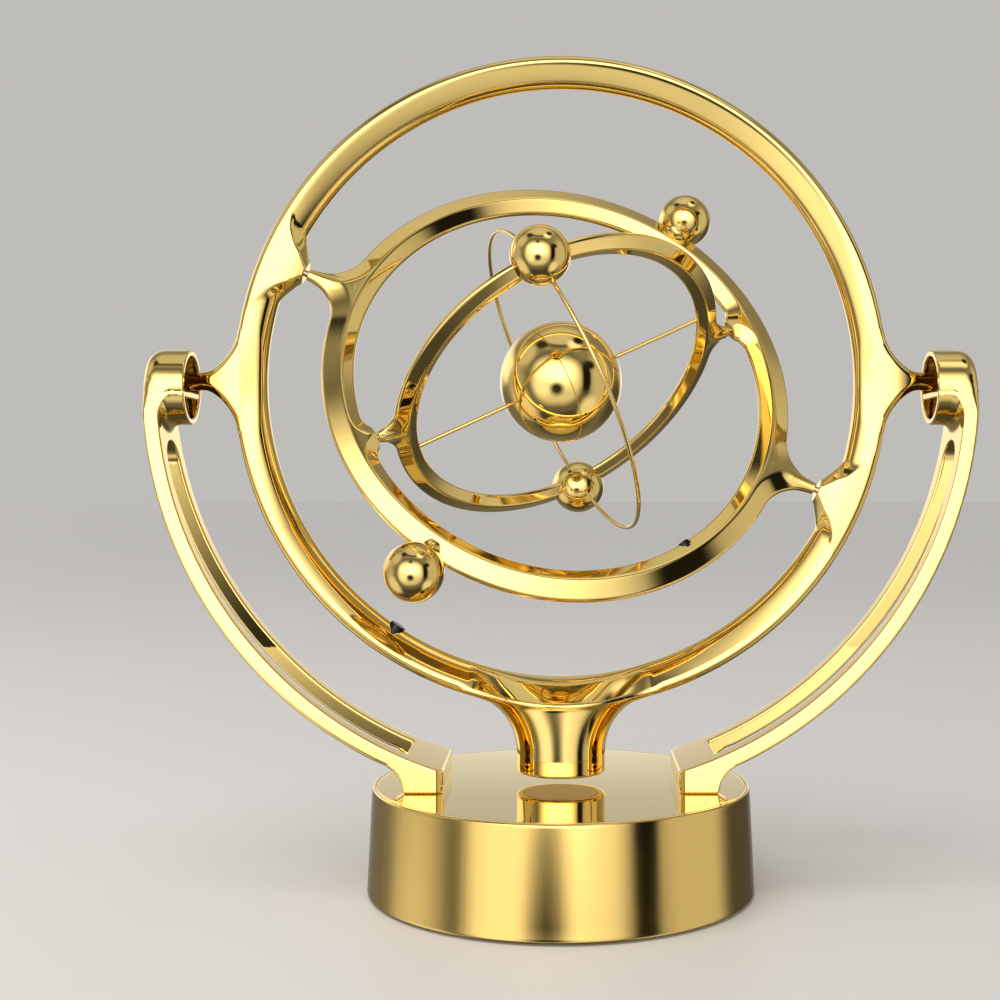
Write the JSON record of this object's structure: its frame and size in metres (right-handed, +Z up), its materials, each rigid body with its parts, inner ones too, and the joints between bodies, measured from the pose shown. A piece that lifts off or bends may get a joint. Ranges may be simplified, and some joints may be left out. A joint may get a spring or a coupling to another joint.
{
  "type": "kinetic orbit desk sculpture",
  "caption": "Battery base with two slotted arms carrying nested gimbal rings, small balls, a wire hoop and a centre ball that swing and spin.",
  "frame": {"origin": "middle of the underside, in the plane of the rubber foot", "axes": "+Z up, +X towards the right arm, -Y is the front the rings are seen from"},
  "size_m": [0.204, 0.095, 0.2056],
  "materials": {
    "satin_gold": "satin gold anodised drum",
    "gloss_gold_plate": "mirror polished pale gold plate",
    "polished_gold": "mirror polished gold plating",
    "steel": "plain steel pins and screws",
    "magnet": "black coated magnet",
    "black_plastic": "fine-grained moulded plastic",
    "bush_plastic": "dark brown low-friction plastic",
    "natural_plastic": "natural white nylon",
    "rubber": "matt rubber",
    "cell_jacket": "plain printed-free cell jacket",
    "contact": "nickel plated spring steel",
    "copper": "enamelled copper winding",
    "board": "green solder mask",
    "wire_jacket": "red wire insulation"
  },
  "bodies": {
    "base": {"base_shell": "satin_gold", "top_plate": "gloss_gold_plate", "bottom_cover": "black_plastic", "battery_cells": "cell_jacket", "battery_tray": "black_plastic", "contact_plates": "contact", "contact_springs": "contact", "coil_bobbin": "natural_plastic", "drive_coil": "copper", "circuit_board": "board", "board_parts": "black_plastic", "lead_wires": "wire_jacket", "foot_ring": "rubber", "cover_screws": "steel", "arm_left": "polished_gold", "arm_right": "polished_gold", "arm_screws": "steel", "bearing_left": "bush_plastic", "bearing_right": "bush_plastic"},
    "door": {"battery_door": "black_plastic"},
    "outer": {"outer_ring": "polished_gold", "swing_pins": "steel", "drive_magnet": "magnet", "hub_cap": "polished_gold", "outer_trim_magnet": "magnet"},
    "middle": {"middle_ring": "polished_gold", "middle_pins": "steel", "middle_ball_front": "polished_gold", "middle_ball_back": "polished_gold", "middle_trim_magnet": "magnet"},
    "inner": {"inner_ring": "polished_gold", "inner_pins": "steel", "inner_ball_top": "polished_gold", "inner_ball_bottom": "polished_gold", "orbit_hoop": "polished_gold"},
    "centre": {"centre_ball": "polished_gold", "centre_axle": "polished_gold"}
  },
  "joints": [
    {"name": "swing", "type": "hinge", "parent": "base", "child": "outer", "pos_m": [0, 0, 0.1249], "axis": [1, 0, 0], "continuous": true},
    {"name": "middle_spin", "type": "hinge", "parent": "outer", "child": "middle", "pos_m": [0, 0, 0.1249], "axis": [0.9206, 0, -0.3904], "continuous": true},
    {"name": "inner_spin", "type": "hinge", "parent": "middle", "child": "inner", "pos_m": [0, 0, 0.1249], "axis": [0.892, 0.3423, 0.2953], "continuous": true},
    {"name": "ball_spin", "type": "hinge", "parent": "inner", "child": "centre", "pos_m": [0, 0, 0.1249], "axis": [0.8874, 0.1955, 0.4175], "continuous": true},
    {"name": "door_open", "type": "hinge", "parent": "base", "child": "door", "pos_m": [0, 0.0252, 0.0022], "axis": [1, 0, 0], "range_deg": [0, 90]}
  ]
}
